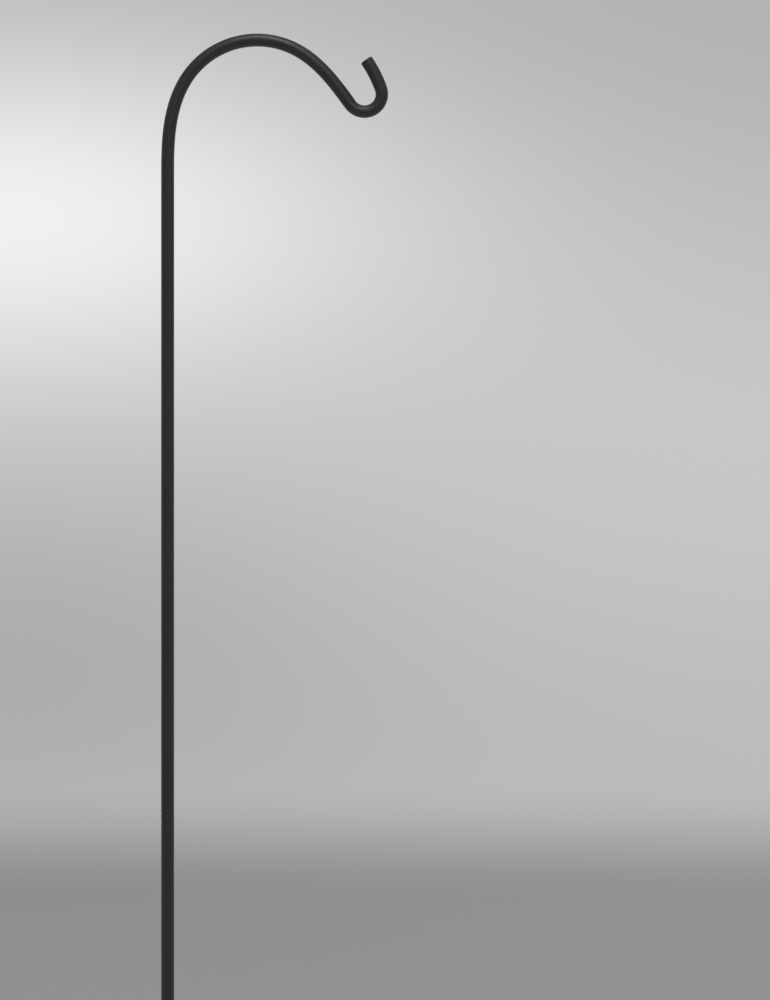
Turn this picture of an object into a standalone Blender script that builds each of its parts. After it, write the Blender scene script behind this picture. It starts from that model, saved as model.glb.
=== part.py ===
# Shepherds hook: a knock-down garden pole with an arched crook and a pronged ground base.
# Metres, +Z up. The origin is on the pole's axis at the ground line, and +X is the way the hook reaches.
# Right-hand screw joints part the pole: base and lower tube, lower and middle tube, middle tube and crook.

from math import cos, pi, radians, sin, sqrt

import bmesh
import bpy

# Driving sizes: the pole
rod_diameter = 0.0127
tube_length = 0.5555
tube_wall = 0.0012
insert_wall = 0.001375
insert_length = 0.020
plug_floor = 0.0047
end_chamfer = 0.0005

# Driving sizes: the crook
shank_length = 0.622
arch_radius = 0.082
arch_lead_in = 0.104
arch_lead_out = 0.0765
arch_turn = radians(144.1)
curl_radius = 0.017
curl_turn = radians(163.9)
tip_length = 0.0314
tip_radius = 0.120
tip_chamfer = 0.0009

# Driving sizes: the screw joints
thread_pitch = 0.00127
threads_engaged = 10
stud_seat = 0.015
stud_end_room = 0.0033
stud_chamfer = 0.0008

# Driving sizes: the ground base
spike_depth = 0.229
spike_seat = 0.009
spike_point = 0.045
spike_tip_radius = 0.0008
hub_web = 0.007
hub_floor = 0.00375
hub_socket_web = 0.0018
hub_shoulder = 0.0018
hub_chamfer = 0.0012
prong_diameter = 0.0079
prong_seat = 0.0055
prong_reach = 0.076
prong_bend_radius = 0.019
prong_depth = 0.178
prong_point = 0.030
prong_tip_radius = 0.0006
weld_leg = 0.003

# Clearances, and the overrun of every cut
fit_gap = 0.0003
overrun = 0.002

# Fineness of round shapes
pole_facets = 32
crook_facets = 20
small_facets = 24
prong_facets = 12
arch_steps = 15
curl_steps = 20
tip_steps = 4
prong_bend_steps = 7
sharp_angle = radians(35)
merge_distance = 0.00001

# Sizes that follow
rod_radius = rod_diameter / 2
bore_radius = rod_radius - tube_wall
insert_radius = bore_radius - fit_gap
stud_hole_radius = insert_radius - insert_wall
stud_radius = stud_hole_radius - fit_gap
stud_hole_seat = stud_seat + fit_gap
stud_engaged = threads_engaged * thread_pitch
stud_hole_depth = stud_engaged + stud_end_room
prong_radius = prong_diameter / 2
socket_radius = prong_radius + fit_gap
prong_height = hub_floor + socket_radius
spike_hole_radius = rod_radius + fit_gap
hub_bore_end = hub_socket_web + spike_hole_radius
hub_radius = hub_bore_end + fit_gap + prong_seat
hub_barrel_height = 2 * prong_height
hub_height = spike_seat + hub_web + stud_hole_depth
hub_top_radius = rod_radius + hub_shoulder
prong_angles = {"right": 0, "back": pi / 2, "left": pi, "front": 3 * pi / 2}


def clear_scene():
    for obj in list(bpy.data.objects):
        bpy.data.objects.remove(obj)


def new_collection(name):
    collection = bpy.data.collections.new(name)
    bpy.context.scene.collection.children.link(collection)
    return collection


def new_material(name, colour, roughness, metallic):
    material = bpy.data.materials.new(name)
    material.use_nodes = True
    shader = material.node_tree.nodes["Principled BSDF"]
    shader.inputs["Base Color"].default_value = (*colour, 1)
    shader.inputs["Roughness"].default_value = roughness
    shader.inputs["Metallic"].default_value = metallic
    return material


def new_axis(name, height, below=None):
    """An empty on the pole's axis, on which one section turns. Height is from the empty below."""
    axis = bpy.data.objects.new(name, None)
    parts.objects.link(axis)
    axis.location = (0, 0, height)
    axis.parent = below
    return axis


def settle(obj):
    """Turns a curve, or a mesh with its modifiers, into a plain mesh that is smooth between sharp edges."""
    bpy.context.view_layer.update()
    graph = bpy.context.evaluated_depsgraph_get()
    mesh = bpy.data.meshes.new_from_object(obj.evaluated_get(graph))
    work = bmesh.new()
    work.from_mesh(mesh)
    bmesh.ops.remove_doubles(work, verts=work.verts, dist=merge_distance)
    work.to_mesh(mesh)
    work.free()
    mesh.shade_smooth()
    mesh.set_sharp_from_angle(angle=sharp_angle)
    name = obj.name
    solid = bpy.data.objects.new(name, mesh)
    obj.users_collection[0].objects.link(solid)
    solid.parent = obj.parent
    solid.location = obj.location
    solid.rotation_euler = obj.rotation_euler
    bpy.data.objects.remove(obj)
    solid.name = name
    mesh.name = name
    return solid


def turned(name, profile, facets, collection):
    """A profile of (radius, height) points turned about Z, its outer side listed from top to bottom."""
    mesh = bpy.data.meshes.new(name)
    edges = [(i, i + 1) for i in range(len(profile) - 1)]
    is_ring = profile[0][0] > 0
    if is_ring:
        edges.append((len(profile) - 1, 0))
    mesh.from_pydata([(radius, 0, height) for radius, height in profile], edges, [])
    obj = bpy.data.objects.new(name, mesh)
    collection.objects.link(obj)
    screw = obj.modifiers.new("turn", "SCREW")
    screw.axis = "Z"
    screw.angle = 2 * pi
    screw.steps = facets
    screw.render_steps = facets
    screw.use_merge_vertices = True
    screw.merge_threshold = merge_distance
    return settle(obj)


def bar(name, route, radius, facets):
    """A round bar along (x, z, share of its radius) points in the XZ plane, with filled ends."""
    curve = bpy.data.curves.new(name, "CURVE")
    curve.dimensions = "3D"
    curve.bevel_depth = radius
    curve.bevel_resolution = facets // 2 - 2
    curve.use_fill_caps = True
    spline = curve.splines.new("POLY")
    spline.points.add(len(route) - 1)
    for point, (x, z, radius_share) in zip(spline.points, route):
        point.co = (x, 0, z, 1)
        point.radius = radius_share
    obj = bpy.data.objects.new(name, curve)
    parts.objects.link(obj)
    return settle(obj)


def round_cutter(name, radius, low, high, facets):
    profile = [(0, high), (radius, high), (radius, low), (0, low)]
    cutter = turned(name, profile, facets, cutters)
    cutter.hide_render = True
    cutter.display_type = "WIRE"
    return cutter


def cut(obj, cutter):
    boolean = obj.modifiers.new(cutter.name, "BOOLEAN")
    boolean.operation = "DIFFERENCE"
    boolean.object = cutter


def dress(obj, material, axis=None):
    obj.data.materials.clear()
    obj.data.materials.append(material)
    obj.parent = axis
    return obj


def bent_run(start, heading, length, start_bend, end_bend, steps):
    """Points along a run whose bend, in radians a metre turning clockwise, changes evenly along it."""
    x, z = start
    points = []
    step = length / steps
    for i in range(steps):
        middle = (i + 0.5) * step
        turn = start_bend * middle + (end_bend - start_bend) * middle**2 / (2 * length)
        x += step * sin(heading + turn)
        z += step * cos(heading + turn)
        points.append((x, z))
    return points, heading + (start_bend + end_bend) * length / 2


def crook_route():
    """The crook's centre line: shank, arch eased in and out, the curl turned back, and the tip."""
    arch_bend = 1 / arch_radius
    eased_turn = (arch_lead_in + arch_lead_out) * arch_bend / 2
    arch_length = (arch_turn - eased_turn) * arch_radius
    curl_bend = -1 / curl_radius
    tip_bend = -1 / tip_radius
    runs = (
        (arch_lead_in, 0, arch_bend, arch_steps),
        (arch_length, arch_bend, arch_bend, arch_steps),
        (arch_lead_out, arch_bend, 0, arch_steps),
        (curl_turn * curl_radius, curl_bend, curl_bend, curl_steps),
        (tip_length, tip_bend, tip_bend, tip_steps),
    )
    points = [(0, shank_length)]
    heading = 0
    for run in runs:
        bend_points, heading = bent_run(points[-1], heading, *run)
        points += bend_points
    x, z = points.pop()
    lower_end = [(0, 0, 1 - end_chamfer / rod_radius), (0, end_chamfer, 1)]
    tip_end = [
        (x - tip_chamfer * sin(heading), z - tip_chamfer * cos(heading), 1),
        (x, z, 1 - tip_chamfer / rod_radius),
    ]
    return lower_end + [(px, pz, 1) for px, pz in points] + tip_end


def prong_route():
    """A prong's centre line along +X: out of the hub, round a quarter bend and down to its point."""
    points = [(hub_bore_end + fit_gap, prong_height, 1)]
    for i in range(prong_bend_steps + 1):
        angle = i * pi / 2 / prong_bend_steps
        x = prong_reach - prong_bend_radius * (1 - sin(angle))
        z = prong_height - prong_bend_radius * (1 - cos(angle))
        points.append((x, z, 1))
    points.append((prong_reach, prong_point - prong_depth, 1))
    points.append((prong_reach, -prong_depth, prong_tip_radius / prong_radius))
    return points


def make_hub(material):
    """The turned hub: flat underside, tapped on top, bored and countersunk below, four sockets round it."""
    tapped_end = hub_height - stud_hole_depth
    spike_hole_end = spike_seat + fit_gap
    profile = [
        (0, tapped_end),
        (stud_hole_radius, tapped_end),
        (stud_hole_radius, hub_height),
        (hub_top_radius - hub_chamfer, hub_height),
        (hub_top_radius, hub_height - hub_chamfer),
        (hub_radius - hub_chamfer, hub_barrel_height),
        (hub_radius, hub_barrel_height - hub_chamfer),
        (hub_radius, hub_chamfer),
        (hub_radius - hub_chamfer, 0),
        (spike_hole_radius + weld_leg, 0),
        (spike_hole_radius, weld_leg),
        (spike_hole_radius, spike_hole_end),
        (0, spike_hole_end),
    ]
    hub = turned("base_hub", profile, pole_facets, parts)
    for side, angle in prong_angles.items():
        mouth = hub_radius + overrun
        socket = round_cutter(f"{side}_socket", socket_radius, hub_bore_end, mouth, small_facets)
        socket.rotation_euler = (0, pi / 2, angle)
        socket.location = (0, 0, prong_height)
        cut(hub, socket)
    return dress(settle(hub), material)


def make_spike(material):
    """The pointed bar under the hub, seated in the hub's lower bore."""
    profile = [
        (0, spike_seat),
        (rod_radius - end_chamfer, spike_seat),
        (rod_radius, spike_seat - end_chamfer),
        (rod_radius, spike_point - spike_depth),
        (spike_tip_radius, -spike_depth),
        (0, -spike_depth),
    ]
    return dress(turned("centre_spike", profile, pole_facets, parts), material)


def make_spike_weld(material):
    """The bead round the spike, sunk in the hub's countersink so that the underside stays flat."""
    slant_gap = fit_gap * sqrt(2)
    profile = [
        (spike_hole_radius, weld_leg - slant_gap),
        (spike_hole_radius + weld_leg - slant_gap - fit_gap, fit_gap),
        (spike_hole_radius, fit_gap),
    ]
    return dress(turned("spike_weld", profile, small_facets, parts), material)


def make_prong(side, angle, material):
    prong = bar(f"prong_{side}", prong_route(), prong_radius, prong_facets)
    prong.rotation_euler = (0, 0, angle)
    return dress(prong, material)


def make_prong_weld(side, angle, hub_room, material):
    """The fillet bead round a prong's root, cut to lie along the hub's round barrel."""
    outer = socket_radius + weld_leg
    low = sqrt(hub_radius**2 - outer**2) - overrun
    profile = [
        (socket_radius, hub_radius + weld_leg),
        (outer, hub_radius),
        (outer, low),
        (socket_radius, low),
    ]
    weld = turned(f"prong_{side}_weld", profile, small_facets, parts)
    weld.rotation_euler = (0, pi / 2, angle)
    weld.location = (0, 0, prong_height)
    cut(weld, hub_room)
    return dress(settle(weld), material)


def make_stud(section, axis, material):
    """A section's stud: its lower end screws into the piece below, its upper end sits in the section."""
    profile = [
        (0, stud_seat),
        (stud_radius - stud_chamfer, stud_seat),
        (stud_radius, stud_seat - stud_chamfer),
        (stud_radius, stud_chamfer - stud_engaged),
        (stud_radius - stud_chamfer, -stud_engaged),
        (0, -stud_engaged),
    ]
    return dress(turned(f"{section}_stud", profile, small_facets, parts), material, axis)


def make_tube(section, axis, material):
    """A straight tube with a light chamfer at both ends."""
    profile = [
        (bore_radius, tube_length),
        (rod_radius - end_chamfer, tube_length),
        (rod_radius, tube_length - end_chamfer),
        (rod_radius, end_chamfer),
        (rod_radius - end_chamfer, 0),
        (bore_radius, 0),
    ]
    return dress(turned(f"{section}_tube", profile, pole_facets, parts), material, axis)


def make_top_insert(section, axis, material):
    """The tapped ring in a tube's upper end, which takes the stud above."""
    low = tube_length - insert_length
    profile = [
        (stud_hole_radius, tube_length),
        (insert_radius, tube_length),
        (insert_radius, low),
        (stud_hole_radius, low),
    ]
    return dress(turned(f"{section}_top_insert", profile, small_facets, parts), material, axis)


def make_bottom_plug(section, axis, material):
    """The drilled plug in a tube's lower end, which holds the section's own stud."""
    top = stud_hole_seat + plug_floor
    profile = [
        (0, top),
        (insert_radius, top),
        (insert_radius, 0),
        (stud_hole_radius, 0),
        (stud_hole_radius, stud_hole_seat),
        (0, stud_hole_seat),
    ]
    return dress(turned(f"{section}_bottom_plug", profile, small_facets, parts), material, axis)


def make_crook(axis, material):
    """The bent bar, drilled in its lower end for its own stud."""
    crook = bar("crook_rod", crook_route(), rod_radius, crook_facets)
    crook.parent = axis
    drill = round_cutter("crook_drill", stud_hole_radius, -overrun, stud_hole_seat, small_facets)
    drill.parent = axis
    cut(crook, drill)
    return dress(settle(crook), material, axis)


clear_scene()
parts = new_collection("shepherds_hook")
cutters = new_collection("cutters")

pole_coat = new_material("black_pole_coat", (0.019, 0.018, 0.019), 0.42, 0)
base_coat = new_material("black_base_coat", (0.021, 0.020, 0.020), 0.50, 0)
zinc_plate = new_material("zinc_plate", (0.55, 0.56, 0.57), 0.35, 1)
bare_steel = new_material("bare_steel", (0.42, 0.41, 0.40), 0.45, 1)

# The base is one weldment
make_hub(base_coat)
make_spike(base_coat)
make_spike_weld(base_coat)
room_top = hub_barrel_height + overrun
hub_room = round_cutter("hub_room", hub_radius + fit_gap, -overrun, room_top, 2 * pole_facets)
for side, angle in prong_angles.items():
    make_prong(side, angle, base_coat)
    make_prong_weld(side, angle, hub_room, base_coat)

# The pole stands on it, one section on another
lower_axis = new_axis("lower_axis", hub_height + fit_gap)
middle_axis = new_axis("middle_axis", tube_length + fit_gap, lower_axis)
crook_axis = new_axis("crook_axis", tube_length + fit_gap, middle_axis)
for section, axis in (("lower", lower_axis), ("middle", middle_axis)):
    make_stud(section, axis, zinc_plate)
    make_tube(section, axis, pole_coat)
    make_top_insert(section, axis, bare_steel)
    make_bottom_plug(section, axis, bare_steel)
make_stud("crook", crook_axis, zinc_plate)
make_crook(crook_axis, pole_coat)
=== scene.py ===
import math

import bpy
import numpy as np
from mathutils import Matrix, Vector


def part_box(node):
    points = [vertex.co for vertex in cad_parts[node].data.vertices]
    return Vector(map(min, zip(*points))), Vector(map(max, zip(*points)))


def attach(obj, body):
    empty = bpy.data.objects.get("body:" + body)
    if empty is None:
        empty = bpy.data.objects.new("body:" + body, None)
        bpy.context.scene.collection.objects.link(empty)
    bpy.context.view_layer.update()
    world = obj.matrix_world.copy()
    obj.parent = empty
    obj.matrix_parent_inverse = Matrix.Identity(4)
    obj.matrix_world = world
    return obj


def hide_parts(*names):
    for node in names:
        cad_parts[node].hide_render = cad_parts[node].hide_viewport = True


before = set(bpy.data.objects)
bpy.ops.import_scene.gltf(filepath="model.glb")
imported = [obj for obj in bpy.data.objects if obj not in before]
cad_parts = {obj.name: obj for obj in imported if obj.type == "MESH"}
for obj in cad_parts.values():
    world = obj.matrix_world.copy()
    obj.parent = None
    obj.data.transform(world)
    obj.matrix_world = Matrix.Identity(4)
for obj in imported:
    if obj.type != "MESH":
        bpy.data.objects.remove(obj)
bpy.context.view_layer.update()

# All places are in metres in the CAD frame: the pole's axis is x = y = 0, the ground line is z = 0.

rodRadius = 0.00635  # half-inch stock
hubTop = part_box("base_hub")[1].z
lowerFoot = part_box("lower_tube")[0].z
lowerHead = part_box("lower_tube")[1].z
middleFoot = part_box("middle_tube")[0].z
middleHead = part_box("middle_tube")[1].z
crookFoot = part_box("crook_rod")[0].z
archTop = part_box("crook_rod")[1].z
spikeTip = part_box("centre_spike")[0].z


# Shapes

sharpAngle = math.radians(50)  # faces that meet at more than this keep a hard edge
yAxis = np.array([0.0, 1.0, 0.0])  # square to the plane of every bend


def ringSurface(name, rings, material, loop=False):
    # rings[i, j] is point j of ring i. Quads join each ring to the next, and with loop the last to the
    # first. Without loop the end rings have no width, so each is one point with a fan to the ring beside it.
    tips = rings[:0, 0] if loop else rings[[0, -1], 0]
    rings = rings if loop else rings[1:-1]
    rows, across = rings.shape[:2]
    points = np.vstack([rings.reshape(-1, 3), tips])
    here = np.arange(across)
    beside = (here + 1) % across
    low = np.arange(rows if loop else rows - 1)[:, None] * across
    high = (low + across) % (rows * across)
    quads = np.stack([low + here, low + beside, high + beside, high + here], axis=-1).reshape(-1, 4)
    fans = np.zeros((0, 3), int)
    if not loop:
        last = (rows - 1) * across
        firstFan = np.stack([beside, here, np.full(across, rows * across)], axis=-1)
        lastFan = np.stack([last + here, last + beside, np.full(across, rows * across + 1)], axis=-1)
        fans = np.vstack([firstFan, lastFan])
    # the signed volume of the pyramids from the origin to each quad's two halves tells which way they face
    a, b, c, d = (points[quads[:, k]] for k in range(4))
    volume = (np.cross(a, b) * c).sum() + (np.cross(a, c) * d).sum()
    if volume < 0:
        quads, fans = quads[:, ::-1], fans[:, ::-1]
    mesh = bpy.data.meshes.new(name)
    mesh.from_pydata(points.tolist(), [], quads.tolist() + fans.tolist())
    mesh.shade_smooth()
    mesh.set_sharp_from_angle(angle=sharpAngle)
    mesh.materials.append(material)
    piece = bpy.data.objects.new(name, mesh)
    bpy.context.scene.collection.objects.link(piece)
    return piece


def softProfile(corners, steps=5):
    # corners are (place along, radius, cut back). Each corner is cut back along both its legs, by at most
    # half of a leg, and joined with a quadratic curve: (1 - t)^2 start + 2 t (1 - t) corner + t^2 end.
    t = np.linspace(0, 1, steps)[:, None]
    spots = np.array([corner[:2] for corner in corners])
    runs = [spots[:1]]
    for k in range(1, len(corners) - 1):
        back = corners[k][2]
        if not back:
            runs.append(spots[k:k + 1])
            continue
        before = spots[k - 1] - spots[k]
        after = spots[k + 1] - spots[k]
        start = spots[k] + before * min(back / np.hypot(*before), 0.5)
        end = spots[k] + after * min(back / np.hypot(*after), 0.5)
        runs.append((1 - t) ** 2 * start + 2 * t * (1 - t) * spots[k] + t ** 2 * end)
    runs.append(spots[-1:])
    return np.vstack(runs)


def densify(profile, step, fine=()):
    # Adds points along the profile's own length, a step apart, and finer in each stretch of fine, which
    # is (low, high, step) by the place along. Points that fall together are kept once.
    length = np.concatenate([[0], np.cumsum(np.hypot(*np.diff(profile, axis=0).T))])
    stops = [length, np.arange(0, length[-1], step)]
    for low, high, fineStep in fine:
        extra = np.arange(0, length[-1], fineStep)
        place = np.interp(extra, length, profile[:, 0])
        stops.append(extra[(place > low) & (place < high)])
    stops = np.unique(np.concatenate(stops).round(8))
    return np.stack([np.interp(stops, length, profile[:, k]) for k in (0, 1)], axis=-1)


def carryRings(place, side, binormal, radius, angles):
    # point = place + radius (cos angle side + sin angle binormal), for every place and every angle
    across = np.cos(angles)[None, :, None] * side[:, None, :] + np.sin(angles)[None, :, None] * binormal
    return place[:, None, :] + radius[:, :, None] * across


def uprightRings(profile, angles, swell=0):
    # A profile of (height, radius) turned about the pole's axis, with swell added to the radius.
    height, radius = profile.T
    place = np.stack([height * 0, height * 0, height], axis=-1)
    side = np.tile([1.0, 0.0, 0.0], (len(height), 1))
    return carryRings(place, side, yAxis, radius[:, None] + swell + angles * 0, angles)


def circle(count):
    # count angles, evenly spread over one turn
    return np.linspace(0, 2 * np.pi, count, endpoint=False)


def smooth(x, low, high):
    # 0 at low, 1 at high and 3 t^2 - 2 t^3 between them, also where high is the lesser
    t = np.clip((x - low) / (high - low), 0, 1)
    return t * t * (3 - 2 * t)


def paintWear(piece, wear):
    # wear is 0 for whole coat and 1 for bare, one value for each point of the rings. Where the end rings
    # were made into single points, those come last.
    mesh = piece.data
    values = wear.reshape(-1)
    if len(mesh.vertices) < wear.size:
        values = np.concatenate([wear[1:-1].reshape(-1), wear[[0, -1], 0]])
    layer = mesh.attributes.new("wear", "FLOAT", "POINT")
    layer.data.foreach_set("value", values.astype(np.float32))


# Materials

cloudSpan = (0.3, 0.7)  # the stretch of the cloud noise over which a tone or a gloss changes


def nodeKit(name):
    material = bpy.data.materials.new(name)
    material.use_nodes = True
    tree = material.node_tree
    return material, tree, tree.nodes["Principled BSDF"]


def noise(tree, coords, scale, detail, roughness=0.5):
    node = tree.nodes.new("ShaderNodeTexNoise")
    node.inputs["Scale"].default_value = scale
    node.inputs["Detail"].default_value = detail
    node.inputs["Roughness"].default_value = roughness
    tree.links.new(coords, node.inputs["Vector"])
    return node.outputs["Fac"]


def remap(tree, value, low, high, newLow, newHigh, soft=False):
    node = tree.nodes.new("ShaderNodeMapRange")
    node.interpolation_type = "SMOOTHSTEP" if soft else "LINEAR"
    node.inputs["From Min"].default_value = low
    node.inputs["From Max"].default_value = high
    node.inputs["To Min"].default_value = newLow
    node.inputs["To Max"].default_value = newHigh
    tree.links.new(value, node.inputs["Value"])
    return node.outputs["Result"]


def maths(tree, operation, *values):
    node = tree.nodes.new("ShaderNodeMath")
    node.operation = operation
    for socket, value in zip(node.inputs, values):
        if isinstance(value, (int, float)):
            socket.default_value = value
        else:
            tree.links.new(value, socket)
    return node.outputs["Value"]


def blendColour(tree, factor, first, second):
    node = tree.nodes.new("ShaderNodeMix")
    node.data_type = "RGBA"
    tree.links.new(factor, node.inputs["Factor"])
    for socket, value in ((node.inputs["A"], first), (node.inputs["B"], second)):
        if isinstance(value, tuple):
            socket.default_value = (*value, 1)
        else:
            tree.links.new(value, socket)
    return node.outputs["Result"]


def bump(tree, height, strength, distance, normal=None):
    node = tree.nodes.new("ShaderNodeBump")
    node.inputs["Strength"].default_value = strength
    node.inputs["Distance"].default_value = distance
    tree.links.new(height, node.inputs["Height"])
    if normal:
        tree.links.new(normal, node.inputs["Normal"])
    return node.outputs["Normal"]


def powderCoat(name, look):
    # Black powder coat: orange peel and a finer grain in the bump, cloudy gloss that wear polishes, and
    # bare steel where wear + scuffReach x scuff pattern passes bareFrom.
    material, tree, shader = nodeKit(name)
    coords = tree.nodes.new("ShaderNodeTexCoord").outputs["Object"]
    peel = noise(tree, coords, look["peelScale"], detail=2)
    grain = noise(tree, coords, look["grainScale"], detail=1)
    cloud = noise(tree, coords, look["cloudScale"], detail=4)
    scuff = noise(tree, coords, look["scuffScale"], detail=5, roughness=0.65)
    wear = tree.nodes.new("ShaderNodeAttribute")
    wear.attribute_name = "wear"
    rubbed = maths(tree, "ADD", wear.outputs["Fac"], maths(tree, "MULTIPLY", scuff, look["scuffReach"]))
    bare = remap(tree, rubbed, look["bareFrom"], look["bareFrom"] + look["chipEdge"], 0, 1)
    polished = remap(tree, wear.outputs["Fac"], *look["polishSpan"], 0, look["polish"])
    tone = blendColour(tree, remap(tree, cloud, *cloudSpan, 0, 1), look["dark"], look["light"])
    tree.links.new(blendColour(tree, bare, tone, look["steel"]), shader.inputs["Base Color"])
    gloss = remap(tree, cloud, *cloudSpan, look["glossLow"], look["glossHigh"])
    gloss = maths(tree, "SUBTRACT", gloss, polished)
    tree.links.new(gloss, shader.inputs["Roughness"])
    tree.links.new(bare, shader.inputs["Metallic"])
    normal = bump(tree, peel, look["peelStrength"], look["peelDepth"])
    normal = bump(tree, grain, look["grainStrength"], look["grainDepth"], normal)
    tree.links.new(normal, shader.inputs["Normal"])
    shader.inputs["Specular IOR Level"].default_value = look["shine"]
    return material


def platedSteel(name, look):
    # Bright plate or turned steel: fine rings along Z from a wave, cloudy tint and roughness.
    material, tree, shader = nodeKit(name)
    coords = tree.nodes.new("ShaderNodeTexCoord").outputs["Object"]
    cloud = noise(tree, coords, look["cloudScale"], detail=3)
    wave = tree.nodes.new("ShaderNodeTexWave")
    wave.wave_type = "BANDS"
    wave.bands_direction = "Z"
    wave.inputs["Scale"].default_value = look["toolScale"]
    wave.inputs["Distortion"].default_value = look["toolWander"]
    tree.links.new(coords, wave.inputs["Vector"])
    tint = blendColour(tree, remap(tree, cloud, *cloudSpan, 0, 1), look["dark"], look["light"])
    tree.links.new(tint, shader.inputs["Base Color"])
    gloss = remap(tree, cloud, *cloudSpan, look["glossLow"], look["glossHigh"])
    tree.links.new(gloss, shader.inputs["Roughness"])
    normal = bump(tree, wave.outputs["Fac"], look["toolStrength"], look["toolDepth"])
    tree.links.new(normal, shader.inputs["Normal"])
    shader.inputs["Metallic"].default_value = 1
    return material


poleLook = {
    "dark": (0.0062, 0.0060, 0.0065),
    "light": (0.0090, 0.0087, 0.0091),
    "steel": (0.30, 0.29, 0.28),
    "peelScale": 620,
    "peelStrength": 0.5,
    "peelDepth": 0.0004,
    "grainScale": 3400,
    "grainStrength": 0.6,
    "grainDepth": 0.00012,
    "cloudScale": 26,
    "scuffScale": 900,
    "scuffReach": 0.9,
    "bareFrom": 0.97,
    "chipEdge": 0.05,
    "glossLow": 0.36,
    "glossHigh": 0.48,
    "polish": 0.10,
    "polishSpan": (0.1, 0.6),
    "shine": 0.34,
}
baseLook = {
    **poleLook,
    "dark": (0.0085, 0.0080, 0.0078),
    "light": (0.0135, 0.0126, 0.0120),
    "peelScale": 480,
    "peelStrength": 0.6,
    "glossLow": 0.34,
    "glossHigh": 0.50,
}
weldLook = {**baseLook, "glossLow": 0.30, "glossHigh": 0.42, "peelStrength": 0.3}
zincLook = {
    "dark": (0.50, 0.52, 0.55),
    "light": (0.66, 0.67, 0.66),
    "cloudScale": 180,
    "toolScale": 1400,
    "toolWander": 1.5,
    "toolStrength": 0.12,
    "toolDepth": 0.00003,
    "glossLow": 0.24,
    "glossHigh": 0.36,
}
insertLook = {
    **zincLook,
    "dark": (0.36, 0.355, 0.345),
    "light": (0.50, 0.49, 0.475),
    "toolStrength": 0.3,
    "glossLow": 0.32,
    "glossHigh": 0.46,
}
crookCoat = powderCoat("crookPowderCoat", poleLook)
poleCoat = powderCoat("polePowderCoat", poleLook)
baseCoat = powderCoat("basePowderCoat", baseLook)
weldCoat = powderCoat("weldPowderCoat", weldLook)
zincPlate = platedSteel("zincPlate", zincLook)
insertSteel = platedSteel("turnedSteel", insertLook)
print("materials made")


# Screw threads and studs

thread = {
    "pitch": 0.00127,
    "majorRadius": 0.003175,
    "boreRadius": 0.003475,
    "depth": 0.00070,
    "flat": 0.14,  # share of the pitch, at the crest and again at the root
    "play": 0.0003,  # left between a stud's end and its hole's
    "engaged": 0.0127,  # screwed into the piece below
    "seat": 0.015,  # held in the piece above
    "chamfer": 0.0008,
    "endSoft": 0.0001,
    "softSteps": 3,
    "plainStep": 0.0015,
    "wallBand": 0.0002,  # a radius this near to the bore's is its wall
    "mouthFade": 0.0008,
    "samples": 12,  # rings to a pitch
    "around": 48,
}
threadStep = thread["pitch"] / thread["samples"]


def threadHeight(height, angles):
    # A right-hand helix: the phase is height / pitch - angle / turn. The height of the thread is a triangle
    # of that phase with its crest and root cut flat, from 0 at the root to 1 at the crest.
    phase = height[:, None] / thread["pitch"] - angles[None, :] / (2 * np.pi)
    ramp = np.abs(phase % 1 - 0.5) * 2
    return np.clip((ramp - thread["flat"]) / (1 - 2 * thread["flat"]), 0, 1)


def boreThread(profile, angles, low, mouth):
    # The change of radius of a tapped wall: none over the stud's crests, and less by the thread's depth over
    # its roots. It acts only on the wall, and fades into the countersunk mouth.
    height, radius = profile.T
    bore, band = thread["boreRadius"], thread["wallBand"]
    onWall = (radius > bore - band) & (radius < bore + band) & (height > low)
    fade = smooth(height, mouth, mouth - thread["mouthFade"]) * onWall
    return -thread["depth"] * (1 - threadHeight(height, angles)) * fade[:, None]


def makeStud(name, node, body, joint):
    # A turned bar. Its lower part is threaded and screws into the piece below, and its upper part is plain
    # and sits in its own: radius = major - depth (1 - thread height) on the thread.
    major, chamfer, soft = thread["majorRadius"], thread["chamfer"], thread["endSoft"]
    foot, top = joint - thread["engaged"], joint + thread["seat"]
    corners = [
        (foot, 0, 0),
        (foot, major - chamfer, soft),
        (foot + chamfer, major, soft),
        (top - chamfer, major, soft),
        (top, major - chamfer, soft),
        (top, 0, 0),
    ]
    fine = [(foot, joint + threadStep, threadStep)]
    profile = densify(softProfile(corners, thread["softSteps"]), thread["plainStep"], fine)
    angles = circle(thread["around"])
    cut = thread["depth"] * (1 - threadHeight(profile[:, 0], angles))
    threaded = smooth(profile[:, 0], joint + 2 * threadStep, joint)[:, None]
    radius = np.minimum(profile[:, 1:], major - cut * threaded)
    rings = uprightRings(profile, angles, radius - profile[:, 1:])
    piece = ringSurface(name, rings, zincPlate)
    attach(piece, body)
    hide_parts(node)


for name, node, body, joint in (
    ("lowerStud", "lower_stud", "lower_screw_stud", lowerFoot),
    ("middleStud", "middle_stud", "middle_screw_stud", middleFoot),
    ("crookStud", "crook_stud", "crook_screw_stud", crookFoot),
):
    makeStud(name, node, body, joint)
print("studs made")


# Tubes with the inserts and plugs that they hold

tube = {
    "wall": 0.0012,
    "endSoft": 0.0006,
    "skin": 0.00001,  # dents move only what lies this near to the outside
    "around": 96,
    "longStep": 0.012,
    "dimpleFromEnd": 0.0085,
    "dimpleRadius": 0.0013,
    "dimpleDepth": 0.00032,
    "dimpleCount": 3,
    "dimpleTurns": (0.4, 1.1),  # radians round, at the foot and at the head
    "dimpleSpan": 2.6,  # finer rings this far from a dent, in its radii
    "dimpleStep": 0.0003,
    "wear": 0.62,
    "wearReach": 0.0006,
    "wearDepth": 0.0003,
}


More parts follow.
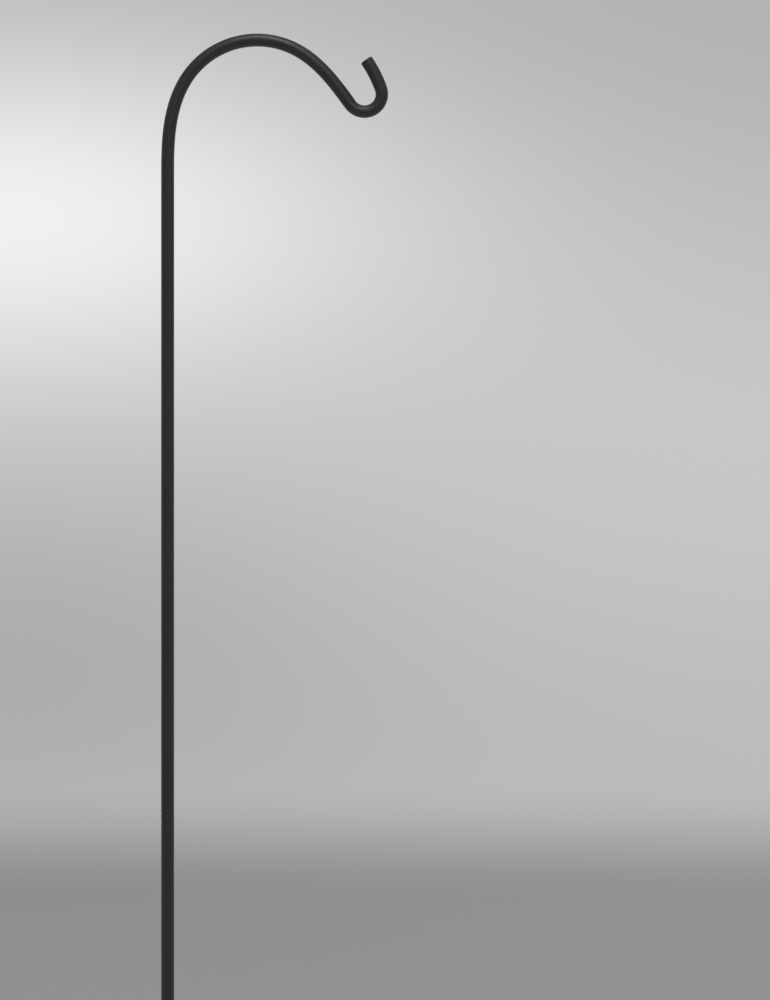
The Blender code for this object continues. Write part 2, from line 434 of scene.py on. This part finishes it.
def dimples(height, angles, rows):
    # Staking dents that grip the inserts and plugs, dimpleCount to a row. Each is a bell,
    # dimpleDepth x exp(-(distance / dimpleRadius)^2).
    dent = np.zeros((len(height), len(angles)))
    for row, turned in rows:
        for k in range(tube["dimpleCount"]):
            middle = turned + k * 2 * np.pi / tube["dimpleCount"]
            gap = (angles - middle + np.pi) % (2 * np.pi) - np.pi
            squared = (height[:, None] - row) ** 2 + (gap[None, :] * rodRadius) ** 2
            dent -= tube["dimpleDepth"] * np.exp(-squared / tube["dimpleRadius"] ** 2)
    return dent


def makeTube(name, node, body, foot, head):
    # The wall's closed outline, up the outside, over the head, down the bore and round the foot, turned
    # about the pole's axis, with the dents added on the outside.
    bore, soft = rodRadius - tube["wall"], tube["endSoft"]
    middle = (foot + head) / 2
    corners = [
        (middle, rodRadius, 0),
        (head, rodRadius, soft),
        (head, bore, soft / 2),
        (foot, bore, soft / 2),
        (foot, rodRadius, soft),
        (middle, rodRadius, 0),
    ]
    rows = [
        (foot + tube["dimpleFromEnd"], tube["dimpleTurns"][0]),
        (head - tube["dimpleFromEnd"], tube["dimpleTurns"][1]),
    ]
    reach = tube["dimpleSpan"] * tube["dimpleRadius"]
    fine = [(row - reach, row + reach, tube["dimpleStep"]) for row, turned in rows]
    profile = densify(softProfile(corners), tube["longStep"], fine)[:-1]
    height, radius = profile.T
    angles = circle(tube["around"])
    outside = (radius > rodRadius - tube["skin"])[:, None]
    rings = uprightRings(profile, angles, dimples(height, angles, rows) * outside)
    piece = ringSurface(name, rings, poleCoat, loop=True)
    nearEnd = np.exp(-np.minimum(height - foot, head - height) / tube["wearReach"])
    onEdge = smooth(radius, bore, rodRadius - tube["wearDepth"])
    paintWear(piece, np.repeat((tube["wear"] * nearEnd * onEdge)[:, None], len(angles), axis=1))
    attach(piece, body)
    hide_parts(node)


insert = {
    "radius": 0.00485,
    "length": 0.020,
    "sink": 0.0007,
    "soft": 0.0003,
    "softSteps": 3,
    "longStep": 0.002,
    "around": 48,
}


def makeTopInsert(name, node, body, head):
    # The closed outline of a bush with a countersunk mouth, turned about the pole's axis, its bore tapped.
    low, bore, sink = head - insert["length"], thread["boreRadius"], insert["sink"]
    middle = head - insert["length"] / 2
    corners = [
        (middle, insert["radius"], 0),
        (head, insert["radius"], insert["soft"]),
        (head, bore + sink, 0),
        (head - sink, bore, 0),
        (low, bore, insert["soft"]),
        (low, insert["radius"], insert["soft"]),
        (middle, insert["radius"], 0),
    ]
    outline = softProfile(corners, insert["softSteps"])
    profile = densify(outline, insert["longStep"], [(low, head, threadStep)])[:-1]
    angles = circle(insert["around"])
    rings = uprightRings(profile, angles, boreThread(profile, angles, low, head))
    piece = ringSurface(name, rings, insertSteel, loop=True)
    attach(piece, body)
    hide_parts(node)


plug = {"radius": 0.00485, "floor": 0.0047, "soft": 0.0003, "longStep": 0.004, "around": 48}


def makeBottomPlug(name, node, body, foot):
    # The outline of a plug with a blind hole, from the hole's end round to the top, turned about the axis.
    holeEnd = foot + thread["seat"] + thread["play"]
    top, bore, soft = holeEnd + plug["floor"], thread["boreRadius"], plug["soft"]
    corners = [
        (holeEnd, 0, 0),
        (holeEnd, bore, soft),
        (foot, bore, soft),
        (foot, plug["radius"], soft),
        (top, plug["radius"], soft),
        (top, 0, 0),
    ]
    profile = densify(softProfile(corners), plug["longStep"])
    rings = uprightRings(profile, circle(plug["around"]))
    piece = ringSurface(name, rings, insertSteel)
    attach(piece, body)
    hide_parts(node)


for section, foot, head in (("lower", lowerFoot, lowerHead), ("middle", middleFoot, middleHead)):
    makeTube(f"{section}Tube", f"{section}_tube", f"{section}_section", foot, head)
    makeTopInsert(f"{section}TopInsert", f"{section}_top_insert", f"{section}_section", head)
    makeBottomPlug(f"{section}BottomPlug", f"{section}_bottom_plug", f"{section}_section", foot)
print("tubes made")


# The crook: one bent bar with a drilled foot

crook = {
    "shank": 0.622,
    "archRadius": 0.082,
    "leadIn": 0.104,  # the arch's bend grows over this length
    "leadOut": 0.0765,  # and dies out over this one
    "archTurn": 144.1,  # degrees
    "curlRadius": 0.017,
    "curlTurn": 163.9,  # degrees
    "tipLength": 0.0314,
    "tipRadius": 0.120,
    "pathPoints": 40001,
    "tipSoft": 0.0015,
    "footSoft": 0.0006,
    "boreSoft": 0.0003,
    "boreSkin": 0.0001,
    "softSteps": 9,
    "flattening": 0.00022,  # in the curl, and less where the bar bends less
    "ovalBlur": 13,  # rings over which the oval comes and goes
    "longStep": 0.010,
    "bendStep": 0.0016,
    "beforeBend": 0.010,  # finer rings start this far before the arch
    "curlStep": 0.0008,
    "beforeCurl": 0.004,  # the finest start this far before the curl
    "beforeEnd": 0.002,  # both stop this far before the tip's end
    "around": 72,
}
crookWear = {
    "saddle": 0.4,
    "saddleShare": 0.36,  # of the curl's length
    "saddleReach": 0.008,
    "saddleFrom": 0.2,  # in -cos angle, which is 1 on the bar's upper side
    "tip": 0.45,
    "tipInset": 0.0005,
    "tipReach": 0.0008,
    "foot": 0.6,
    "footReach": 0.0006,
}


def crookPath():
    # The heading from straight up, clockwise, is the sum of the bends along the bar: none on the shank, then
    # a bend that grows evenly to 1 / archRadius, stays, and dies out evenly, then -1 / curlRadius, and
    # last -1 / tipRadius. The place is the running sum of (sin heading, cos heading) times the step.
    lead, out, radius = crook["leadIn"], crook["leadOut"], crook["archRadius"]
    archLength = math.radians(crook["archTurn"]) * radius - (lead + out) / 2
    curlLength = math.radians(crook["curlTurn"]) * crook["curlRadius"]
    ends = np.cumsum([crook["shank"], lead, archLength, out, curlLength, crook["tipLength"]])
    along = np.linspace(0, ends[-1], crook["pathPoints"])
    step = along[1]
    middle = along[:-1] + step / 2
    arch = np.clip((middle - ends[0]) / lead, 0, 1) * np.clip((ends[3] - middle) / out, 0, 1) / radius
    curl = np.where((middle > ends[3]) & (middle < ends[4]), 1 / crook["curlRadius"], 0)
    tip = np.where(middle >= ends[4], 1 / crook["tipRadius"], 0)
    bend = arch - curl - tip
    heading = np.concatenate([[0], np.cumsum(bend * step)])
    halfway = (heading[1:] + heading[:-1]) / 2
    x = np.concatenate([[0], np.cumsum(np.sin(halfway) * step)])
    z = crookFoot + np.concatenate([[0], np.cumsum(np.cos(halfway) * step)])
    return along, x, z, heading, np.append(bend, 0), ends


def makeCrook():
    # The outline of the bar and its blind hole, (place along the bar, radius), carried along the path.
    along, x, z, heading, bend, ends = crookPath()
    end, bore, holeEnd = ends[-1], thread["boreRadius"], thread["seat"] + thread["play"]
    corners = [
        (holeEnd, 0, 0),
        (holeEnd, bore, crook["boreSoft"]),
        (0, bore, crook["boreSoft"]),
        (0, rodRadius, crook["footSoft"]),
        (end, rodRadius, crook["tipSoft"]),
        (end, 0, 0),
    ]
    fine = [
        (ends[0] - crook["beforeBend"], end - crook["beforeEnd"], crook["bendStep"]),
        (ends[3] - crook["beforeCurl"], end - crook["beforeEnd"], crook["curlStep"]),
    ]
    profile = densify(softProfile(corners, crook["softSteps"]), crook["longStep"], fine)
    inBore = np.arange(len(profile)) < np.argmax(profile[:, 1] > bore + crook["boreSkin"])
    place, radius = profile.T
    turnHere = np.interp(place, along, heading)
    centre = np.stack([np.interp(place, along, x), place * 0, np.interp(place, along, z)], axis=-1)
    side = np.stack([np.cos(turnHere), place * 0, -np.sin(turnHere)], axis=-1)
    angles = circle(crook["around"])
    # a bent bar goes slightly oval: flatter in the plane of the bend and as much wider across it
    tightness = np.abs(np.interp(place, along, bend)) * crook["curlRadius"] * ~inBore
    blur = crook["ovalBlur"]
    tightness = np.convolve(np.pad(tightness, blur // 2, mode="edge"), np.ones(blur) / blur, mode="valid")
    oval = -crook["flattening"] * tightness[:, None] * np.cos(2 * angles)[None, :]
    swollen = radius[:, None] + oval * (radius / rodRadius)[:, None]
    piece = ringSurface("crookBar", carryRings(centre, side, yAxis, swollen, angles), crookCoat)
    # what is hung rubs the upper side of the curl's lowest stretch, and the tip's and the foot's edge chip
    saddle = ends[3] + (ends[4] - ends[3]) * crookWear["saddleShare"]
    onSaddle = crookWear["saddle"] * np.exp(-((place - saddle) / crookWear["saddleReach"]) ** 2)
    rubbed = onSaddle[:, None] * smooth(-np.cos(angles), crookWear["saddleFrom"], 1)[None, :]
    tipEdge = end - crookWear["tipInset"]
    atTip = crookWear["tip"] * np.exp(-((tipEdge - place) / crookWear["tipReach"]) ** 2)
    atFoot = crookWear["foot"] * np.exp(-place / crookWear["footReach"]) * ~inBore
    paintWear(piece, np.clip(rubbed + (atTip + atFoot)[:, None], 0, 1))
    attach(piece, "crook")
    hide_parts("crook_rod")


makeCrook()
print("crook made")


# The base: hub, spike, prongs and their weld beads

hub = {
    "radius": 0.01425,
    "barrelHeight": 0.016,
    "topRadius": 0.00815,
    "neck": 0.003,  # the cone ends this far below the top
    "neckSoft": 0.003,
    "edge": 0.0014,
    "tapDepth": 0.016,
    "tapSoft": 0.0003,
    "tapRunout": 0.001,  # no thread this near to the tap's end
    "sink": 0.0008,  # countersink of the tap
    "spikeHole": 0.00665,
    "spikeSeat": 0.0093,
    "seatSoft": 0.0004,
    "countersink": 0.003,  # round the spike, filled by its bead
    "countersinkSoft": 0.0003,
    "countersinkRim": 0.0002,
    "softSteps": 7,
    "longStep": 0.0012,
    "around": 128,
}
hubWear = {
    "top": 0.6,
    "topReach": 0.0005,
    "topRim": 0.0002,
    "topFullRadius": 0.006,  # inside this the face is worn most
    "foot": 0.45,
    "footReach": 0.0012,
    "tap": 0.7,
}


def makeHub():
    # The hub's outline, from the spike's seat out, up the cone and down into the tap, turned about the axis.
    tapEnd, bore = hubTop - hub["tapDepth"], thread["boreRadius"]
    corners = [
        (hub["spikeSeat"], 0, 0),
        (hub["spikeSeat"], hub["spikeHole"], hub["seatSoft"]),
        (hub["countersink"], hub["spikeHole"], hub["countersinkSoft"]),
        (0, hub["spikeHole"] + hub["countersink"], hub["countersinkRim"]),
        (0, hub["radius"], hub["edge"]),
        (hub["barrelHeight"], hub["radius"], hub["edge"]),
        (hubTop - hub["neck"], hub["topRadius"], hub["neckSoft"]),
        (hubTop, hub["topRadius"], hub["edge"]),
        (hubTop, bore + hub["sink"], 0),
        (hubTop - hub["sink"], bore, 0),
        (tapEnd, bore, hub["tapSoft"]),
        (tapEnd, 0, 0),
    ]
    outline = softProfile(corners, hub["softSteps"])
    profile = densify(outline, hub["longStep"], [(tapEnd, hubTop, threadStep)])
    angles = circle(hub["around"])
    cut = boreThread(profile, angles, tapEnd + hub["tapRunout"], hubTop)
    piece = ringSurface("baseHub", uprightRings(profile, angles, cut), baseCoat)
    # the top face is rubbed by the pole, the lower rim by soil, and the tap is bare
    height, radius = profile.T
    atTop = np.exp(-np.abs(hubTop - height) / hubWear["topReach"])
    onFace = smooth(radius, hub["topRadius"] - hubWear["topRim"], hubWear["topFullRadius"])
    fromRim = np.hypot(height, radius - hub["radius"])
    atFoot = hubWear["foot"] * np.exp(-(fromRim / hubWear["footReach"]) ** 2)
    inTap = hubWear["tap"] * (radius < bore + hub["sink"]) * (height > tapEnd)
    wear = np.clip(atTop * onFace * hubWear["top"] + atFoot + inTap, 0, 1)
    paintWear(piece, np.repeat(wear[:, None], len(angles), axis=1))
    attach(piece, "base")
    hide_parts("base_hub")


point = {"softSteps": 9, "wear": 0.66, "wornAll": 0.8, "wornRidges": 0.2}


def forged(angles, squareness):
    # A hammered point is a little square: the radius is times 1 - squareness x sin^2(2 angle).
    return 1 - squareness[:, None] * np.sin(2 * angles)[None, :] ** 2


def soilWear(nearTip, angles):
    # Soil rubs a point bare, and its ridges most: wear x nearTip x (wornAll + wornRidges x cos^2(2 angle)).
    ridges = point["wornAll"] + point["wornRidges"] * np.cos(2 * angles)[None, :] ** 2
    return (point["wear"] * nearTip)[:, None] * ridges


spike = {
    "seat": 0.009,
    "seatSoft": 0.0005,
    "point": 0.045,
    "shoulderSoft": 0.004,
    "tipRadius": 0.0009,
    "tipSoft": 0.0004,
    "square": 0.16,
    "squareFull": 0.004,  # squarest this near to the tip
    "wornLength": 0.050,
    "longStep": 0.004,
    "around": 48,
}


def makeSpike():
    # The outline of a pointed bar turned about the pole's axis, with its point forged.
    shoulder = spikeTip + spike["point"]
    corners = [
        (spikeTip, 0, 0),
        (spikeTip, spike["tipRadius"], spike["tipSoft"]),
        (shoulder, rodRadius, spike["shoulderSoft"]),
        (spike["seat"], rodRadius, spike["seatSoft"]),
        (spike["seat"], 0, 0),
    ]
    profile = densify(softProfile(corners, point["softSteps"]), spike["longStep"])
    angles = circle(spike["around"])
    squareness = smooth(profile[:, 0], shoulder, spikeTip + spike["squareFull"]) * spike["square"]
    radius = profile[:, 1:] * forged(angles, squareness)
    piece = ringSurface("centreSpike", uprightRings(profile, angles, radius - profile[:, 1:]), baseCoat)
    paintWear(piece, soilWear(smooth(profile[:, 0], spikeTip + spike["wornLength"], spikeTip), angles))
    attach(piece, "base")
    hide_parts("centre_spike")


prong = {
    "radius": 0.00395,
    "height": 0.008,  # of its level part's axis above the ground line
    "reach": 0.076,  # from the pole's axis to its leg's
    "bendRadius": 0.019,
    "inner": 0.00875,  # where it starts inside the hub
    "depth": 0.178,  # below the ground line
    "seatSoft": 0.0004,
    "point": 0.030,
    "shoulderSoft": 0.003,
    "tipRadius": 0.0007,
    "tipSoft": 0.0004,
    "square": 0.16,
    "squareFull": 0.003,  # squarest this near to the tip
    "wornLength": 0.034,
    "longStep": 0.005,
    "bendStep": 0.001,
    "around": 40,
}


def turnedRound(rings, angle):
    # every point of the rings turned by angle about the pole's axis
    c, s = math.cos(angle), math.sin(angle)
    turned = rings.reshape(-1, 3) @ np.array([[c, s, 0], [-s, c, 0], [0, 0, 1]])
    return turned.reshape(rings.shape)


def makeProng(side, angle):
    # Out along +X, a quarter bend, and straight down: the heading is 90 degrees, grows by place / bendRadius
    # through the bend, and stays at 180. All is then turned about the pole to the prong's side.
    run = prong["reach"] - prong["bendRadius"] - prong["inner"]
    quarter = math.pi / 2 * prong["bendRadius"]
    drop = prong["height"] - prong["bendRadius"] + prong["depth"]
    end = run + quarter + drop
    shoulder = end - prong["point"]
    corners = [
        (0, 0, 0),
        (0, prong["radius"], prong["seatSoft"]),
        (shoulder, prong["radius"], prong["shoulderSoft"]),
        (end, prong["tipRadius"], prong["tipSoft"]),
        (end, 0, 0),
    ]
    outline = softProfile(corners, point["softSteps"])
    profile = densify(outline, prong["longStep"], [(run, run + quarter, prong["bendStep"])])
    place, radius = profile.T
    turn = np.clip((place - run) / prong["bendRadius"], 0, math.pi / 2)
    x = prong["inner"] + np.minimum(place, run) + prong["bendRadius"] * np.sin(turn)
    down = prong["bendRadius"] * (1 - np.cos(turn)) + np.maximum(place - run - quarter, 0)
    centre = np.stack([x, place * 0, prong["height"] - down], axis=-1)
    under = np.stack([-np.sin(turn), place * 0, -np.cos(turn)], axis=-1)
    angles = circle(prong["around"])
    squareness = smooth(place, shoulder, end - prong["squareFull"]) * prong["square"]
    rings = carryRings(centre, under, yAxis, radius[:, None] * forged(angles, squareness), angles)
    piece = ringSurface(f"prong{side.capitalize()}", turnedRound(rings, angle), baseCoat)
    paintWear(piece, soilWear(smooth(place, end - prong["wornLength"], end), angles))
    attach(piece, "base")
    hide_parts(f"prong_{side}")


bead = {
    "leg": 0.0032,
    "legStops": (0.33, 0.66),  # points on the two flat sides, in shares of the leg
    "bite": 0.0001,  # how far a bead reaches into the steel beside it
    "ripples": 17,
    "rippleDepth": 0.12,
    "lag": 2.4,  # radians that the ripples trail by at the toes
    "around": 204,
    "across": 14,
    "power": 1.5,
    "toeDepth": 0.0005,  # from the hub's underside up to the spike bead's edges
    "skin": 0.0001,  # and up to the lowest of its bulge
    "faceRipples": 26,
    "faceRippleDepth": 0.0002,
}


def coins(wave):
    # ridges like a row of leaning coins, ((1 - cos wave) / 2)^2
    return (0.5 - 0.5 * np.cos(wave)) ** 2


def beadProfile(turns):
    # The bead's cross section in shares of its leg: the bulging curve p^power + q^power = 1, closed by a
    # corner, with ripples that lag at the two toes and fade out there.
    t = np.linspace(0, np.pi / 2, bead["across"])
    p, q = np.cos(t) ** (2 / bead["power"]), np.sin(t) ** (2 / bead["power"])
    lag = bead["lag"] * (t / (np.pi / 4) - 1) ** 2
    ripple = 1 - bead["rippleDepth"] * coins(bead["ripples"] * turns[:, None] + lag[None, :])
    ripple = 1 + (ripple - 1) * np.sin(2 * t)[None, :] ** 0.5
    near, far = bead["legStops"]
    ones = np.ones((len(turns), 1))
    outward = np.hstack([p * ripple, ones * [0, 0, 0, near, far]])
    upward = np.hstack([q * ripple, ones * [far, near, 0, 0, 0]])
    return outward, upward


def makeProngWeld(side, angle):
    # Round the prong's axis, across = inner radius + leg x outward share. The bead's foot lies on the hub's
    # barrel, so x = sqrt(barrel^2 - y^2) + leg x upward share.
    turns = circle(bead["around"])
    outward, upward = beadProfile(turns)
    across = prong["radius"] - bead["bite"] + bead["leg"] * outward
    y, z = across * np.cos(turns)[:, None], across * np.sin(turns)[:, None]
    foot = np.sqrt((hub["radius"] - bead["bite"]) ** 2 - y ** 2)
    rings = np.stack([foot + bead["leg"] * upward, y, prong["height"] + z], axis=-1)
    piece = ringSurface(f"prong{side.capitalize()}Weld", turnedRound(rings, angle), weldCoat, loop=True)
    paintWear(piece, np.zeros(rings.shape[:2]))
    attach(piece, "base")
    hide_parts(f"prong_{side}_weld")


def makeSpikeWeld():
    # The countersink filled up round the spike. Its face runs from the spike, t = 0, to the slope's edge,
    # t = 1, and bulges down by sin(pi t) with the same lagging ripples, but stays above the hub's underside.
    turns = circle(bead["around"])
    t = np.linspace(0, 1, bead["across"])
    inner, top = rodRadius - bead["bite"], hub["countersink"] + bead["bite"]
    outer = hub["spikeHole"] + hub["countersink"] - bead["toeDepth"]
    bulge = np.sin(np.pi * t)[None, :]
    wave = bead["faceRipples"] * turns[:, None] + (bead["lag"] * (2 * t - 1) ** 2)[None, :]
    ripple = bead["faceRippleDepth"] * coins(wave)
    face = bead["toeDepth"] + bulge * (bead["skin"] - bead["toeDepth"] + ripple)
    ones = np.ones((len(turns), 1))
    across = np.hstack([ones * (inner + (outer - inner) * t), ones * [(outer + inner) / 2, inner, inner]])
    height = np.hstack([face, ones * [top / 2 + bead["bite"], top, top / 2]])
    rings = np.stack([across * np.cos(turns)[:, None], across * np.sin(turns)[:, None], height], axis=-1)
    piece = ringSurface("spikeWeld", rings, weldCoat, loop=True)
    paintWear(piece, np.zeros(rings.shape[:2]))
    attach(piece, "base")
    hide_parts("spike_weld")


makeHub()
makeSpike()
makeSpikeWeld()
for side, quarterTurns in (("right", 0), ("back", 1), ("left", 2), ("front", 3)):
    makeProng(side, quarterTurns * math.pi / 2)
    makeProngWeld(side, quarterTurns * math.pi / 2)
print("base made")


# Floor, light and camera

studio = {
    "floorRadius": 6.5,
    "floorSides": 96,
    "floorGap": 0.0002,
    "floorTone": (0.86, 0.86, 0.86),
    "floorRough": 0.9,
    "floorShine": 0.1,
    "floorFadeFrom": 0.3,
    "roomTone": 0.60,
    "roomLight": (0.60, 0.60, 0.60),
    "backdropFrom": 0.80,
    "backdropFull": 0.95,
    # the backdrop's painted light and shade: its tones from the foot up, a painted glow and a painted shadow
    "backLow": 0.285,
    "backMiddle": 0.50,
    "backLift": 0.07,
    "backDip": 0.12,
    "footSpan": (-0.12, -0.085),
    "liftSpan": (-0.085, 0.01),
    "dipSpan": (0.02, 0.15),
    "glow": {"strength": 0.37, "x": -0.1175, "z": 0.09, "wide": 0.122, "high": 0.05},
    "shadow": {"strength": -0.11, "x": -0.1175, "z": -0.035, "wide": 0.122, "high": 0.06},
    "keyPlace": (0.30, -1.43, 3.86),
    "keyAim": (0.12, 0, 1.7),
    "keySize": (0.8, 2.2),
    "keyPower": 48,
    "fillPlace": (2.4, -2.4, 2.2),
    "fillAim": (0.05, 0, 1.4),
    "fillSize": (1.8, 1.2),
    "fillPower": 3,
}


def makeFloor():
    # a flat disc that fades out towards its rim, so that it has no edge, and is clear from below
    reach = studio["floorRadius"]
    bpy.ops.mesh.primitive_circle_add(
        vertices=studio["floorSides"],
        radius=reach,
        fill_type="NGON",
        location=(0, 0, spikeTip - studio["floorGap"]),
    )
    floor = bpy.context.object
    floor.name = "studioFloorDisc"
    material, tree, shader = nodeKit("studioFloor")
    coords = tree.nodes.new("ShaderNodeTexCoord").outputs["Object"]
    far = tree.nodes.new("ShaderNodeVectorMath")
    far.operation = "LENGTH"
    tree.links.new(coords, far.inputs[0])
    shown = remap(tree, far.outputs["Value"], reach * studio["floorFadeFrom"], reach, 1, 0, soft=True)
    shader.inputs["Base Color"].default_value = (*studio["floorTone"], 1)
    shader.inputs["Roughness"].default_value = studio["floorRough"]
    shader.inputs["Specular IOR Level"].default_value = studio["floorShine"]
    above = maths(tree, "SUBTRACT", 1, tree.nodes.new("ShaderNodeNewGeometry").outputs["Backfacing"])
    tree.links.new(maths(tree, "MULTIPLY", shown, above), shader.inputs["Alpha"])
    floor.data.materials.append(material)


def softSpot(tree, x, z, spot):
    # strength x exp(-(((x - middle) / wide)^2 + ((z - middle) / high)^2))
    across = maths(tree, "DIVIDE", maths(tree, "SUBTRACT", x, spot["x"]), spot["wide"])
    up = maths(tree, "DIVIDE", maths(tree, "SUBTRACT", z, spot["z"]), spot["high"])
    squares = maths(tree, "ADD", maths(tree, "POWER", across, 2), maths(tree, "POWER", up, 2))
    bell = maths(tree, "EXPONENT", maths(tree, "MULTIPLY", squares, -1))
    return maths(tree, "MULTIPLY", bell, spot["strength"])


def lightRoom():
    # The room lights the object evenly. What the camera and reflections see is a pale room with a grey
    # backdrop behind the hook that carries painted light and shade. It is bright at its upper left from a
    # painted glow, with a painted shadow below that. It is dark along its foot and a little towards its top
    # from painted shade. The spans and spots are in parts of a line of sight of length 1: x to the right, y
    # ahead and z up.
    world = bpy.data.worlds.new("studioWorld")
    world.use_nodes = True
    bpy.context.scene.world = world
    tree = world.node_tree
    back = tree.nodes["Background"]
    coords = tree.nodes.new("ShaderNodeTexCoord").outputs["Generated"]
    split = tree.nodes.new("ShaderNodeSeparateXYZ")
    tree.links.new(coords, split.inputs[0])
    x, y, z = (split.outputs[axis] for axis in "XYZ")
    shade = remap(tree, z, *studio["footSpan"], studio["backLow"], studio["backMiddle"], soft=True)
    lift = remap(tree, z, *studio["liftSpan"], 0, studio["backLift"], soft=True)
    dip = remap(tree, z, *studio["dipSpan"], 0, studio["backDip"], soft=True)
    shade = maths(tree, "SUBTRACT", maths(tree, "ADD", shade, lift), dip)
    for spot in (studio["glow"], studio["shadow"]):
        shade = maths(tree, "ADD", shade, softSpot(tree, x, z, spot))
    ahead = remap(tree, y, studio["backdropFrom"], studio["backdropFull"], 0, 1, soft=True)
    shade = blendColour(tree, ahead, (studio["roomTone"],) * 3, shade)
    path = tree.nodes.new("ShaderNodeLightPath")
    seen = maths(tree, "MAXIMUM", path.outputs["Is Camera Ray"], path.outputs["Is Glossy Ray"])
    seen = maths(tree, "MAXIMUM", seen, path.outputs["Is Transmission Ray"])
    tree.links.new(blendColour(tree, seen, studio["roomLight"], shade), back.inputs["Color"])


def softLight(name, place, aim, size, power):
    light = bpy.data.lights.new(name, "AREA")
    light.shape = "RECTANGLE"
    light.size, light.size_y = size
    light.energy = power
    lamp = bpy.data.objects.new(name, light)
    bpy.context.scene.collection.objects.link(lamp)
    lamp.location = place
    lamp.rotation_euler = (Vector(aim) - Vector(place)).to_track_quat("-Z", "Y").to_euler()
    lamp.visible_camera = False


camera = {
    "distance": 3.2,
    "imageSize": (770, 1000),
    "rodPixels": 13.0,  # the rod's width in the picture
    "poleColumn": 167.64,
    "archTopRow": 33.5,
    "sensor": 36.0,
}


def placeCamera():
    # Level and square to the plane of the hook, in which every pixel is then the same length. The arch's top
    # is at its row and the pole's axis at its column.
    width, height = camera["imageSize"]
    scale = 2 * rodRadius / camera["rodPixels"]  # metres to a pixel
    data = bpy.data.cameras.new("photoCamera")
    data.sensor_width = camera["sensor"]
    data.lens = camera["sensor"] * camera["distance"] / (height * scale)
    viewer = bpy.data.objects.new("photoCamera", data)
    bpy.context.scene.collection.objects.link(viewer)
    x = (width / 2 - camera["poleColumn"]) * scale
    z = archTop - (height / 2 - camera["archTopRow"]) * scale
    viewer.location = (x, -camera["distance"], z)
    viewer.rotation_euler = (math.pi / 2, 0, 0)
    bpy.context.scene.camera = viewer


makeFloor()
lightRoom()
softLight("keyLight", studio["keyPlace"], studio["keyAim"], studio["keySize"], studio["keyPower"])
softLight("fillLight", studio["fillPlace"], studio["fillAim"], studio["fillSize"], studio["fillPower"])
placeCamera()
bpy.context.scene.view_settings.view_transform = "Standard"
print("studio made")
